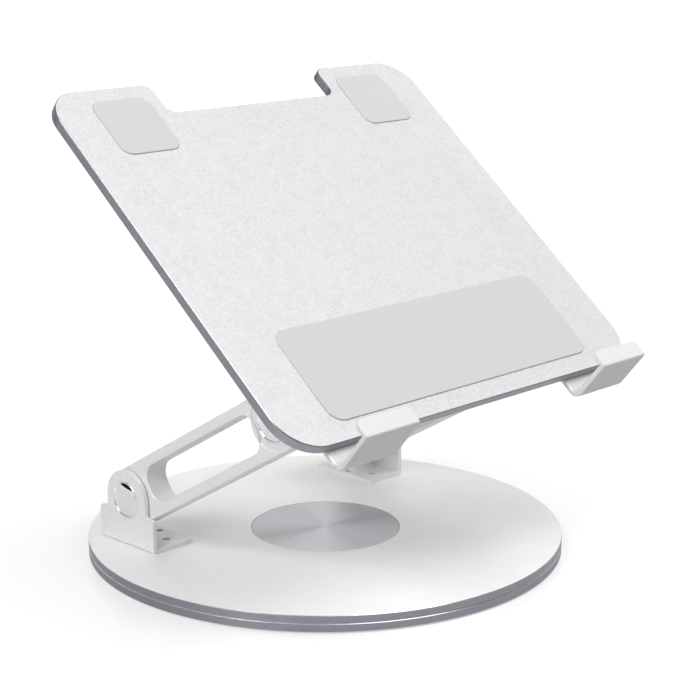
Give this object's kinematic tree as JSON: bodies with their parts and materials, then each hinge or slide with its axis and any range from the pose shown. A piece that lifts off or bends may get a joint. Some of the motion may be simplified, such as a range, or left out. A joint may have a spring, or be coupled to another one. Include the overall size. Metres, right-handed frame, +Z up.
{
  "type": "tablet stand",
  "caption": "Tablet stand with a swivelling round base, windowed arms on friction hinges at both ends, and a notched tray with soft pads and lipped front hooks.",
  "frame": {"origin": "centre of the base on the table surface, under the swivel axis", "axes": "+Z up, the tray faces -Y (towards the user), +X along the hinge axes to the right side seen from the rear; metres"},
  "size_m": [0.2, 0.2029, 0.1939],
  "materials": {
    "anodised_aluminium": "fine bead-blasted, silver anodised",
    "plate_aluminium": "bead-blasted, silver anodised with a darker rim",
    "spun_aluminium": "spun, fine concentric grooves",
    "hook_coat": "smooth satin light grey",
    "chrome": "polished",
    "steel": "plain turned steel",
    "silicone": "soft matte light grey silicone",
    "foot_rubber": "matte black, anti-slip",
    "slide_plastic": "low-friction white plastic",
    "friction_plastic": "dark fibre friction disc"
  },
  "bodies": {
    "base": {"foot_mat": "foot_rubber", "base_plate": "plate_aluminium", "slide_ring": "slide_plastic", "pivot_hub": "steel", "retaining_washer": "steel", "hub_screws": "steel"},
    "turntable": {"turntable": "anodised_aluminium", "centre_cap": "spun_aluminium", "bracket_screws": "steel", "base_bracket_left": "anodised_aluminium", "lower_pin_left": "steel", "lower_cap_left": "chrome", "lower_friction_washer_left": "friction_plastic", "lower_spring_washer_left": "steel", "lower_nut_left": "steel", "base_bracket_right": "anodised_aluminium", "lower_pin_right": "steel", "lower_cap_right": "chrome", "lower_friction_washer_right": "friction_plastic", "lower_spring_washer_right": "steel", "lower_nut_right": "steel"},
    "arms": {"arm_left": "anodised_aluminium", "upper_pin_left": "steel", "upper_cap_left": "chrome", "upper_friction_washer_left": "friction_plastic", "upper_spring_washer_left": "steel", "upper_nut_left": "steel", "arm_right": "anodised_aluminium", "upper_pin_right": "steel", "upper_cap_right": "chrome", "upper_friction_washer_right": "friction_plastic", "upper_spring_washer_right": "steel", "upper_nut_right": "steel"},
    "tray": {"tray": "anodised_aluminium", "main_pad": "silicone", "corner_pad_left": "silicone", "corner_pad_right": "silicone", "tray_bracket_left": "anodised_aluminium", "tray_bracket_right": "anodised_aluminium", "tray_screws": "steel", "hook_left": "hook_coat", "hook_right": "hook_coat", "hook_liner_left": "silicone", "hook_liner_right": "silicone", "hook_screws": "steel"}
  },
  "joints": [
    {"name": "swivel", "type": "hinge", "parent": "base", "child": "turntable", "pos_m": [0, 0, 0], "axis": [0, 0, 1], "continuous": true},
    {"name": "arm_hinge", "type": "hinge", "parent": "turntable", "child": "arms", "pos_m": [0, 0.0417, 0.0272], "axis": [-1, 0, 0], "range_deg": [-12, 45]},
    {"name": "tray_hinge", "type": "hinge", "parent": "arms", "child": "tray", "pos_m": [0, -0.04291, 0.07664], "axis": [1, 0, 0], "range_deg": [-52, 45]}
  ]
}
